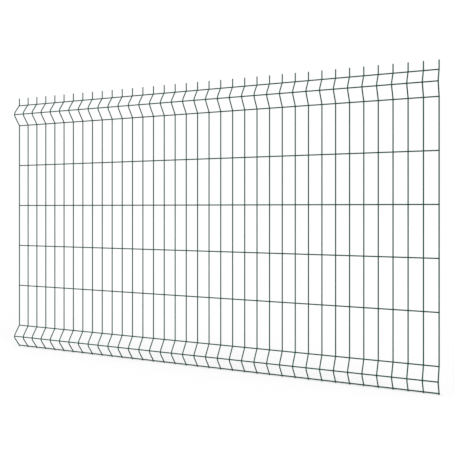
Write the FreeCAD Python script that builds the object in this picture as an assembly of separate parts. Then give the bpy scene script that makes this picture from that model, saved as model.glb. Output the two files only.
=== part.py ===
import FreeCAD, Part
import math
import os

# Welded wire mesh panel with a V fold near its top and bottom edges.
# Millimetres. X runs along the panel, the folds point to -Y, Z is up,
# and the origin is on the cut lower end of the middle upright wire.

PANEL_WIDTH = 2000.0        # length of a line wire
UPRIGHT_COUNT = 37
UPRIGHT_DIAMETER = 5.0
LINE_DIAMETER = 5.0
TALL_ROWS = 5               # rows of tall mesh between the two folds
TALL_MESH = 200.0           # height from line wire to line wire in a tall row
FOLD_HEIGHT = 100.0         # height from a fold's lower line wire to its upper one
LEG_ANGLE = 37.5            # lean of a fold's legs from the upright, degrees
APEX_BEND_RADIUS = 19.0     # bends are measured on the wire's centre line
EDGE_BEND_RADIUS = 7.0
LOWER_BEND_RISE = 0.4       # a fold's lower bend above the line wire that is welded to it
UPPER_BEND_RISE = 1.5       # its upper bend above the line wire that is welded to it
TIP_LENGTH = 35.5           # free wire above the top line wire's centre
FOOT_STUB = 2.0             # straight wire below the lowest bend
WELD_SET_DOWN = 0.5         # depth to which each line wire is welded into an upright

# A line wire's centre lies this far from the upright's centre line at each weld.
weld_offset = (UPRIGHT_DIAMETER + LINE_DIAMETER) / 2 - WELD_SET_DOWN

# A fold: two legs that lean out to a wide bend, from a tighter bend at each end.
leg = math.radians(LEG_ANGLE)
edge_tangent = EDGE_BEND_RADIUS * math.tan(leg / 2)
half_fold = (FOLD_HEIGHT + UPPER_BEND_RISE - LOWER_BEND_RISE) / 2
corner_depth = half_fold * math.tan(leg)
apex_depth = corner_depth - APEX_BEND_RADIUS * (1 / math.cos(leg) - 1)

# Heights from the feet up. A fold's bends and apex are measured from its lower line wire.
bottom_line_z = FOOT_STUB + edge_tangent - LOWER_BEND_RISE
flat_start_z = bottom_line_z + FOLD_HEIGHT
flat_end_z = flat_start_z + TALL_ROWS * TALL_MESH
top_line_z = flat_end_z + FOLD_HEIGHT
tip_z = top_line_z + TIP_LENGTH
apex_rise = LOWER_BEND_RISE + half_fold
upper_bend_height = FOLD_HEIGHT + UPPER_BEND_RISE

first_upright_x = (UPRIGHT_DIAMETER - PANEL_WIDTH) / 2
upright_pitch = (PANEL_WIDTH - UPRIGHT_DIAMETER) / (UPRIGHT_COUNT - 1)


def bent_wire(corners, radii, diameter):
    """Round wire along straight stretches that are joined by arcs at the inner corners."""
    edges = []
    start = corners[0]
    for before, corner, after, radius in zip(corners, corners[1:], corners[2:], radii):
        toward_start = (before - corner).normalize()
        toward_end = (after - corner).normalize()
        half_opening = toward_start.getAngle(toward_end) / 2
        tangent = radius / math.tan(half_opening)
        rounding = radius / math.sin(half_opening) - radius
        arc_start = corner + toward_start * tangent
        arc_end = corner + toward_end * tangent
        arc_middle = corner + (toward_start + toward_end).normalize() * rounding
        edges.append(Part.makeLine(start, arc_start))
        edges.append(Part.Arc(arc_start, arc_middle, arc_end).toShape())
        start = arc_end
    edges.append(Part.makeLine(start, corners[-1]))
    section = Part.makeCircle(diameter / 2, corners[0], corners[1] - corners[0])
    return Part.Wire(edges).makePipeShell([Part.Wire(section)], True, False)


def upright_shape():
    """One upright wire, folded twice, with its foot at z = 0 and its plane at x = 0."""
    profile = [(0.0, 0.0)]
    for fold_z in (bottom_line_z, flat_end_z):
        profile.append((0.0, fold_z + LOWER_BEND_RISE))
        profile.append((-corner_depth, fold_z + apex_rise))
        profile.append((0.0, fold_z + upper_bend_height))
    profile.append((0.0, tip_z))
    corners = [FreeCAD.Vector(0, y, z) for y, z in profile]
    fold_radii = [EDGE_BEND_RADIUS, APEX_BEND_RADIUS, EDGE_BEND_RADIUS]
    return bent_wire(corners, fold_radii + fold_radii, UPRIGHT_DIAMETER)


def depth_behind_bend(height):
    """Depth of a line wire welded behind an edge bend, at this height from the bend's centre."""
    on_bend = max(0.0, height)
    return math.sqrt((EDGE_BEND_RADIUS + weld_offset) ** 2 - on_bend ** 2) - EDGE_BEND_RADIUS


def line_places():
    """Name, depth and height of each line wire's centre: first the folds', then the single ones."""
    lower_y = depth_behind_bend(edge_tangent - LOWER_BEND_RISE)
    upper_y = depth_behind_bend(edge_tangent + UPPER_BEND_RISE)
    places = []
    for fold, fold_z in (("bottom_fold", bottom_line_z), ("top_fold", flat_end_z)):
        places.append((fold + "_lower_line_wire", lower_y, fold_z))
        places.append((fold + "_apex_line_wire", weld_offset - apex_depth, fold_z + apex_rise))
        places.append((fold + "_upper_line_wire", upper_y, fold_z + FOLD_HEIGHT))
    for row in range(1, TALL_ROWS):
        places.append(("line_wire_%d" % row, weld_offset, flat_start_z + row * TALL_MESH))
    return places


def main():
    os.makedirs("parts", exist_ok=True)
    first = upright_shape()
    uprights = []
    for index in range(UPRIGHT_COUNT):
        wire = first.copy()
        wire.translate(FreeCAD.Vector(first_upright_x + index * upright_pitch, 0, 0))
        wire.exportStep("parts/upright_wire_%02d.step" % (index + 1))
        uprights.append(wire)
    along = FreeCAD.Vector(1, 0, 0)
    for name, y, z in line_places():
        start = FreeCAD.Vector(-PANEL_WIDTH / 2, y, z)
        line = Part.makeCylinder(LINE_DIAMETER / 2, PANEL_WIDTH, start, along)
        welded = line.cut(uprights)
        welded.Solids[0].exportStep("parts/%s.step" % name)


main()
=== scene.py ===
import math

import bpy
import numpy as np
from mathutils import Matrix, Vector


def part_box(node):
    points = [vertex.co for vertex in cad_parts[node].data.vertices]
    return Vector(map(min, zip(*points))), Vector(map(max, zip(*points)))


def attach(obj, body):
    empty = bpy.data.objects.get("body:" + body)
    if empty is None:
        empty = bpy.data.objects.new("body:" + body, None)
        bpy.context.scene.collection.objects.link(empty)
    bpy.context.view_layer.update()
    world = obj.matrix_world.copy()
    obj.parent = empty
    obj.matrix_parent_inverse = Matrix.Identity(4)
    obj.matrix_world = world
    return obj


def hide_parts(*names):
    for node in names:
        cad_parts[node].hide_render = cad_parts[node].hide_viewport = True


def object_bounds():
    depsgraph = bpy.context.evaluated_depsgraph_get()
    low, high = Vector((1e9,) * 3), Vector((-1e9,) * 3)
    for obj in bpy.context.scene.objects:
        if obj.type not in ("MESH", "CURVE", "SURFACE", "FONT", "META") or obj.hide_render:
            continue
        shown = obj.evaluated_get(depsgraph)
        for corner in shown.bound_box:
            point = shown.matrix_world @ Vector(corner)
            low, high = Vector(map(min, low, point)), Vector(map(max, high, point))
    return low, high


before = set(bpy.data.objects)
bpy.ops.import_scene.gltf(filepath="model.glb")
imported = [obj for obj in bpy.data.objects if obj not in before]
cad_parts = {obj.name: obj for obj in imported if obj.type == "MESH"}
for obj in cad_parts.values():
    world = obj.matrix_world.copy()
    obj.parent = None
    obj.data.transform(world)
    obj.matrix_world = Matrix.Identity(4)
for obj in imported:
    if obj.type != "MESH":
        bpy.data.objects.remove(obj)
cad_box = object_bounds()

# A welded wire mesh panel with a V fold near its top and bottom edges, in its green plastic coat.
# Metres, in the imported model's frame: X runs along the panel, the folds point to -Y, and Z is up.
MM = 0.001

# Bends and welds as the part's source has them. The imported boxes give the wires' places and other sizes.
LEG_ANGLE = math.radians(37.5)      # lean of a fold's legs from the upright
APEX_BEND_RADIUS = 19.0 * MM        # on the wire's centre line
EDGE_BEND_RADIUS = 7.0 * MM
LOWER_BEND_RISE = 0.4 * MM          # a fold's lower bend above the line wire that is welded to it
UPPER_BEND_RISE = 1.5 * MM          # its upper bend above the line wire that is welded to it
WELD_SET_DOWN = 0.5 * MM            # depth to which a line wire is welded into an upright

# Fineness of the swept surfaces: sides are the points around a wire or a nugget, and steps divide
# a bend, a rounded end, a swell of the coat or a nugget along its length.
WIRE_SIDES = 16
APEX_STEPS = 13
EDGE_STEPS = 7
CAP_STEPS = 5
SWELL_STEPS = 7
NUGGET_SIDES = 10
NUGGET_STEPS = 4

# How the coat closes over a cut end, thickens beside a weld, and fills the corners of a crossing.
CAP_DEPTH = 1.1 * MM
SWELL_HEIGHT = 0.18 * MM
SWELL_LENGTH = 3.2 * MM             # from the weld to where the swell has fallen to about a third
SWELL_REACH = 7.0 * MM
NUGGET_WAIST = 2.4 * MM             # reach of a weld nugget midway between its two wires
NUGGET_FLARE = 0.2 * MM             # how much further it reaches at the wires
NUGGET_SADDLE = 0.4 * MM            # how much it widens along the wire it meets and narrows across it
NUGGET_HALF_DEPTH = 1.15 * MM

# Coat: the dark and the light green of its drift, and the range of its roughness.
WIRE_GREENS = ((0.0019, 0.065, 0.035), (0.0031, 0.085, 0.046))
WELD_GREENS = ((0.0017, 0.058, 0.031), (0.0028, 0.076, 0.041))
WIRE_ROUGHNESS = (0.27, 0.38)
WELD_ROUGHNESS = (0.24, 0.34)
COAT_SPECULAR = 0.14
DRIFT_SCALE = 38.0                  # patches of about 26 mm
DRIFT_DETAIL = 4.0                  # finer layers of noise over the first
DRIFT_FINE_SHARE = 0.6              # strength of each finer layer beside the one before it
DRIFT_RANGE = (0.3, 0.7)            # noise values between which the coat goes from dark to light
RIPPLE_SCALE = 900.0                # ripples of about 1 mm
RIPPLE_DETAIL = 2.0
RIPPLE_FINE_SHARE = 0.5
RIPPLE_DEPTH = 0.15 * MM
RIPPLE_STRENGTH = 0.25

# Light and surroundings. A sun is its strength and, in degrees, its azimuth from -Y toward +X,
# its elevation and its spread.
WHITE = (1.0, 1.0, 1.0, 1.0)
AMBIENT = 0.55
SEEN_WHITE = 1.0                    # strength at which the surroundings are seen as white
RIGHT_SUN = (1.6, 60, 30, 40)
LEFT_SUN = (1.0, -60, 25, 40)
FLOOR_HALF = 40.0
FLOOR_TONE = 0.5
FLOOR_ROUGHNESS = 1.0
FLOOR_SPECULAR = 0.0
FLOOR_GLOW = 0.545                  # brings the lit floor up to white where it is seen

# Photograph, in its own pixels, and the place of its camera.
PHOTO_SIZE = 454.0
FOCAL_PIXELS = 617.0
HORIZON_ROW = 208.55
CAMERA_YAW = math.radians(23.993)
CAMERA_X = 1208.4 * MM
CAMERA_Y = -2400.1 * MM
CAMERA_ABOVE_BOTTOM_LINE = 684.7 * MM
SENSOR_MM = 36.0
FAR_CLIP = 200.0

X_AXIS = np.array([1.0, 0.0, 0.0])
Y_AXIS = np.array([0.0, 1.0, 0.0])

UPRIGHTS = sorted(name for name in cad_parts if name.startswith("upright_wire"))
LINES = sorted(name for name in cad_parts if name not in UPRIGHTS)


def middle(node):
    """Middle of a node's packed box."""
    low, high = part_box(node)
    return (np.array(low) + np.array(high)) / 2


def extent(node):
    """Size of a node's packed box along x, y and z."""
    low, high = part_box(node)
    return np.array(high) - np.array(low)


upright_radius = extent(UPRIGHTS[0])[0] / 2
line_radius = extent("line_wire_1")[2] / 2
weld_offset = upright_radius + line_radius - WELD_SET_DOWN
upright_places = np.array([middle(node)[0] for node in UPRIGHTS])


def closed_mesh(name, rings, poles, material):
    """Mesh of closed skins. rings[n, k, m] is point m of ring k on skin n, and poles[n] holds the points
    that close its first and last ring. Quads join ring to ring, and triangles fan from each pole. A point
    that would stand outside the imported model's box is brought back to its side."""
    skins, steps, sides = rings.shape[:3]
    points = np.concatenate([rings.reshape(skins, -1, 3), poles], axis=1)
    points = np.clip(points, np.array(cad_box[0]), np.array(cad_box[1]))
    per_skin = steps * sides + 2
    index = np.arange(steps * sides).reshape(steps, sides)
    after = np.roll(index, -1, axis=1)
    quads = np.stack([index[:-1], after[:-1], after[1:], index[1:]], axis=-1).reshape(-1, 4)
    first_pole = np.full(sides, steps * sides)
    first = np.stack([first_pole, after[0], index[0]], axis=-1)
    last = np.stack([first_pole + 1, index[-1], after[-1]], axis=-1)
    triangles = np.concatenate([first, last])
    offsets = (np.arange(skins) * per_skin)[:, None, None]
    faces = (quads + offsets).reshape(-1, 4).tolist() + (triangles + offsets).reshape(-1, 3).tolist()
    mesh = bpy.data.meshes.new(name)
    mesh.from_pydata(points.reshape(-1, 3), [], faces)
    mesh.polygons.foreach_set("use_smooth", np.ones(len(faces), dtype=bool))
    mesh.materials.append(material)
    mesh.update()
    piece = bpy.data.objects.new(name, mesh)
    bpy.context.scene.collection.objects.link(piece)
    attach(piece, "root")
    return piece


def coated_wire(name, path, heading, across, radii, material):
    """Round wire with rounded ends. A circle is carried along the path, square to its heading:
    point = path + radius * (cos(turn) * across + sin(turn) * (heading x across)). At both ends the radius
    falls as the sine of an angle while the circle moves out by its cosine, so the coat closes in a dome."""
    rise = np.linspace(0, math.pi / 2, CAP_STEPS + 1)[1:-1]
    inset = CAP_DEPTH * (1 - np.cos(rise))[:, None]
    start_cap = path[0] + inset * heading[0]
    end_cap = (path[-1] - inset * heading[-1])[::-1]
    inner = path.copy()
    inner[0] += CAP_DEPTH * heading[0]
    inner[-1] -= CAP_DEPTH * heading[-1]
    centres = np.concatenate([start_cap, inner, end_cap])
    caps = np.ones((len(rise), 1))
    headings = np.concatenate([caps * heading[0], heading, caps * heading[-1]])
    sizes = np.concatenate([radii[0] * np.sin(rise), radii, radii[-1] * np.sin(rise)[::-1]])
    beside = np.cross(headings, across)
    turn = np.linspace(0, 2 * math.pi, WIRE_SIDES, endpoint=False)[None, :, None]
    around = np.cos(turn) * across + np.sin(turn) * beside[:, None, :]
    rings = centres[:, None, :] + sizes[:, None, None] * around
    poles = np.stack([path[0], path[-1]])
    return closed_mesh(name, rings[None], poles[None], material)


def bends(corners, radii, steps):
    """Arcs that round the inner corners of a polyline in the y-z plane. An arc leaves the incoming run a
    tangent length before the corner, and turned goes from 0 to the turning angle:
    point = start + radius * (sin(turned) * run + (1 - cos(turned)) * inward).
    Returns each arc's points and headings."""
    runs = np.diff(corners, axis=0)
    runs /= np.linalg.norm(runs, axis=1)[:, None]
    points, headings = [], []
    for corner, run, leaving, radius, count in zip(corners[1:-1], runs[:-1], runs[1:], radii, steps):
        turning = math.acos(float(run @ leaving))
        inward = (leaving - math.cos(turning) * run) / math.sin(turning)
        turned = np.linspace(0, turning, count)[:, None]
        start = corner - radius * math.tan(turning / 2) * run
        points.append(start + radius * (np.sin(turned) * run + (1 - np.cos(turned)) * inward))
        headings.append(np.cos(turned) * run + np.sin(turned) * inward)
    return points, headings


def upright_path():
    """Centre line of an upright wire at x = 0 and its headings: straight runs, with two folds whose legs
    lean by the leg angle from bends beside the fold's outer line wires to a wide bend at the apex."""
    low_corner, high_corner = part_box(UPRIGHTS[0])
    corners = [(0.0, low_corner.z)]
    for fold in ("bottom_fold", "top_fold"):
        low = middle(fold + "_lower_line_wire")[2] + LOWER_BEND_RISE
        high = middle(fold + "_upper_line_wire")[2] + UPPER_BEND_RISE
        depth = (high - low) / 2 * math.tan(LEG_ANGLE)
        corners += [(0.0, low), (-depth, (low + high) / 2), (0.0, high)]
    corners.append((0.0, high_corner.z))
    corners = np.array(corners)
    fold_radii = [EDGE_BEND_RADIUS, APEX_BEND_RADIUS, EDGE_BEND_RADIUS]
    fold_steps = [EDGE_STEPS, APEX_STEPS, EDGE_STEPS]
    points, headings = bends(corners, fold_radii * 2, fold_steps * 2)
    up = np.array([[0.0, 1.0]])
    points = np.concatenate([corners[:1], *points, corners[-1:]])
    headings = np.concatenate([up, *headings, up])
    flat = np.zeros((len(points), 1))
    return np.hstack([flat, points]), np.hstack([flat, headings])


def line_stations(low_x, high_x):
    """Places along a line wire and the wire's radius there. The coat swells at each weld by a bell curve
    of the distance from it:
    radius = line radius + swell height * exp(-(distance / swell length) squared)."""
    beside = np.linspace(-SWELL_REACH, SWELL_REACH, SWELL_STEPS)
    places = (upright_places[:, None] + beside).ravel()
    places = places[(places > low_x + SWELL_REACH) & (places < high_x - SWELL_REACH)]
    places = np.concatenate([[low_x], places, [high_x]])
    distance = np.abs(places[:, None] - upright_places).min(axis=1)
    return places, line_radius + SWELL_HEIGHT * np.exp(-(distance / SWELL_LENGTH) ** 2)


def weld_tilt(line):
    """Lean of a weld's normal from +Y. A line wire on the back of an edge bend lies off that bend's centre
    by the bend's radius plus the weld offset, and the sine of the lean is its height from that centre
    divided by that distance. A line wire on straight wire or at an apex has no lean."""
    edge_tangent = EDGE_BEND_RADIUS * math.tan(LEG_ANGLE / 2)
    height = 0.0
    if "lower" in line:
        height = edge_tangent - LOWER_BEND_RISE
    if "upper" in line:
        height = -edge_tangent - UPPER_BEND_RISE
    return math.asin(height / (EDGE_BEND_RADIUS + weld_offset))


def weld_nuggets(name, line, material):
    """Weld metal at every crossing of a line wire. Each nugget is a spool about the contact point, with
    its ends inside the two wires. The level goes from -1 in the upright to 1 in the line wire. A ring
    lies level * half depth along the contact's normal, and reaches out around that normal by
    waist + flare * level squared + saddle * level * cos(2 * turn)."""
    tilt = weld_tilt(line)
    normal = np.array([0.0, math.cos(tilt), math.sin(tilt)])
    beside = np.cross(normal, X_AXIS)
    contact = middle(line) - normal * (line_radius - WELD_SET_DOWN / 2)
    contacts = np.tile(contact, (len(upright_places), 1))
    contacts[:, 0] = upright_places
    level = np.linspace(-1, 1, NUGGET_STEPS)[:, None]
    turn = np.linspace(0, 2 * math.pi, NUGGET_SIDES, endpoint=False)[None, :]
    reach = NUGGET_WAIST + NUGGET_FLARE * level ** 2 + NUGGET_SADDLE * level * np.cos(2 * turn)
    half_depth = NUGGET_HALF_DEPTH * normal
    spool = (reach * np.cos(turn))[..., None] * X_AXIS + (reach * np.sin(turn))[..., None] * beside
    spool = spool + level[..., None] * half_depth
    rings = contacts[:, None, None, :] + spool[None]
    poles = np.stack([contacts - half_depth, contacts + half_depth], axis=1)
    closed_mesh(name, rings, poles, material)


def new_node(tree, kind, **inputs):
    """Adds a shader node and sets its named inputs; an underscore stands for a space."""
    node = tree.nodes.new(kind)
    for key, value in inputs.items():
        node.inputs[key.replace("_", " ")].default_value = value
    return node


def green_coat(name, greens, roughness):
    """Plastic coat on wire: two close greens drift into each other along the wire, the gloss varies with
    the same drift, and a fine ripple of the coat is bump."""
    material = bpy.data.materials.new(name)
    material.use_nodes = True
    tree = material.node_tree
    shader = tree.nodes["Principled BSDF"]
    shader.inputs["Specular IOR Level"].default_value = COAT_SPECULAR
    place = tree.nodes.new("ShaderNodeTexCoord")
    drift = new_node(tree, "ShaderNodeTexNoise", Scale=DRIFT_SCALE, Detail=DRIFT_DETAIL,
                     Roughness=DRIFT_FINE_SHARE)
    tree.links.new(place.outputs["Object"], drift.inputs["Vector"])
    colour = tree.nodes.new("ShaderNodeValToRGB")
    for stop, position, green in zip(colour.color_ramp.elements, DRIFT_RANGE, greens):
        stop.position = position
        stop.color = (*green, 1)
    tree.links.new(drift.outputs["Fac"], colour.inputs["Fac"])
    tree.links.new(colour.outputs["Color"], shader.inputs["Base Color"])
    gloss = new_node(tree, "ShaderNodeMapRange", From_Min=DRIFT_RANGE[0], From_Max=DRIFT_RANGE[1],
                     To_Min=roughness[0], To_Max=roughness[1])
    tree.links.new(drift.outputs["Fac"], gloss.inputs["Value"])
    tree.links.new(gloss.outputs["Result"], shader.inputs["Roughness"])
    ripple = new_node(tree, "ShaderNodeTexNoise", Scale=RIPPLE_SCALE, Detail=RIPPLE_DETAIL,
                      Roughness=RIPPLE_FINE_SHARE)
    tree.links.new(place.outputs["Object"], ripple.inputs["Vector"])
    bump = new_node(tree, "ShaderNodeBump", Strength=RIPPLE_STRENGTH, Distance=RIPPLE_DEPTH)
    tree.links.new(ripple.outputs["Fac"], bump.inputs["Height"])
    tree.links.new(bump.outputs["Normal"], shader.inputs["Normal"])
    return material


def upright_wires(material):
    """One folded wire for each upright node, the same path moved along x."""
    path, heading = upright_path()
    radii = np.full(len(path), upright_radius)
    for node, place in zip(UPRIGHTS, upright_places):
        piece = coated_wire("coated_" + node, path + place * X_AXIS, heading, X_AXIS, radii, material)
        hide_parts(node)


def line_wires(wire_material, weld_material):
    """One straight wire for each line wire node, and the welds along it."""
    for node in LINES:
        low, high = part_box(node)
        places, radii = line_stations(low.x, high.x)
        path = np.tile(middle(node), (len(places), 1))
        path[:, 0] = places
        along = np.tile(X_AXIS, (len(places), 1))
        piece = coated_wire("coated_" + node, path, along, Y_AXIS, radii, wire_material)
        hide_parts(node)
        weld_nuggets("welds_on_" + node, node, weld_material)


def seen_in_view(tree):
    """1 for rays from the camera, a reflection or a clear body, and 0 for rays that only carry light."""
    rays = tree.nodes.new("ShaderNodeLightPath")
    seen = rays.outputs["Is Camera Ray"]
    for kind in ("Is Glossy Ray", "Is Transmission Ray"):
        either = tree.nodes.new("ShaderNodeMath")
        either.operation = "MAXIMUM"
        tree.links.new(seen, either.inputs[0])
        tree.links.new(rays.outputs[kind], either.inputs[1])
        seen = either.outputs["Value"]
    return seen


def strength_in_view(tree, socket, unseen, seen):
    """Gives a strength socket one value for light alone and another for what is seen."""
    choice = new_node(tree, "ShaderNodeMapRange", To_Min=unseen, To_Max=seen)
    tree.links.new(seen_in_view(tree), choice.inputs["Value"])
    tree.links.new(choice.outputs["Result"], socket)


def white_floor():
    """Floor under the feet, a square sheet that keeps the shadow and is seen as white."""
    corners = FLOOR_HALF * np.array([(-1, -1, 0), (1, -1, 0), (1, 1, 0), (-1, 1, 0)])
    mesh = bpy.data.meshes.new("floor")
    mesh.from_pydata(corners, [], [(0, 1, 2, 3)])
    floor = bpy.data.objects.new("floor", mesh)
    bpy.context.scene.collection.objects.link(floor)
    material = bpy.data.materials.new("floor_white")
    material.use_nodes = True
    tree = material.node_tree
    shader = tree.nodes["Principled BSDF"]
    shader.inputs["Base Color"].default_value = (FLOOR_TONE, FLOOR_TONE, FLOOR_TONE, 1)
    shader.inputs["Roughness"].default_value = FLOOR_ROUGHNESS
    shader.inputs["Specular IOR Level"].default_value = FLOOR_SPECULAR
    shader.inputs["Emission Color"].default_value = WHITE
    strength_in_view(tree, shader.inputs["Emission Strength"], unseen=0.0, seen=FLOOR_GLOW)
    mesh.materials.append(material)


def studio_world():
    """White surroundings for the camera and for reflections, and a softer ambient light for the rest."""
    world = bpy.data.worlds.new("studio")
    bpy.context.scene.world = world
    world.use_nodes = True
    back = world.node_tree.nodes["Background"]
    back.inputs["Color"].default_value = WHITE
    strength_in_view(world.node_tree, back.inputs["Strength"], unseen=AMBIENT, seen=SEEN_WHITE)


def soft_sun(name, strength, azimuth, elevation, spread):
    """Wide soft lamp. Its azimuth from -Y toward +X, its elevation and its spread are in degrees."""
    lamp = bpy.data.lights.new(name, "SUN")
    lamp.energy = strength
    lamp.angle = math.radians(spread)
    holder = bpy.data.objects.new(name, lamp)
    holder.rotation_euler = (math.radians(90 - elevation), 0, math.radians(azimuth))
    bpy.context.scene.collection.objects.link(holder)


def photo_camera():
    """Level camera at the photograph's place and turn. Its shift puts the horizon on the right row."""
    lens = bpy.data.cameras.new("photo_camera")
    lens.sensor_width = SENSOR_MM
    lens.lens = FOCAL_PIXELS / PHOTO_SIZE * SENSOR_MM
    lens.shift_y = (HORIZON_ROW - PHOTO_SIZE / 2) / PHOTO_SIZE
    lens.clip_end = FAR_CLIP
    camera = bpy.data.objects.new("photo_camera", lens)
    bottom_line = middle("bottom_fold_lower_line_wire")[2]
    camera.location = (CAMERA_X, CAMERA_Y, bottom_line + CAMERA_ABOVE_BOTTOM_LINE)
    camera.rotation_euler = (math.pi / 2, 0, CAMERA_YAW)
    bpy.context.scene.collection.objects.link(camera)
    bpy.context.scene.camera = camera


wire_coat = green_coat("wire_coat", WIRE_GREENS, WIRE_ROUGHNESS)
weld_coat = green_coat("weld_coat", WELD_GREENS, WELD_ROUGHNESS)
upright_wires(wire_coat)
line_wires(wire_coat, weld_coat)

white_floor()
studio_world()
soft_sun("right_side", *RIGHT_SUN)
soft_sun("left_side", *LEFT_SUN)
photo_camera()
bpy.context.scene.view_settings.view_transform = "Standard"
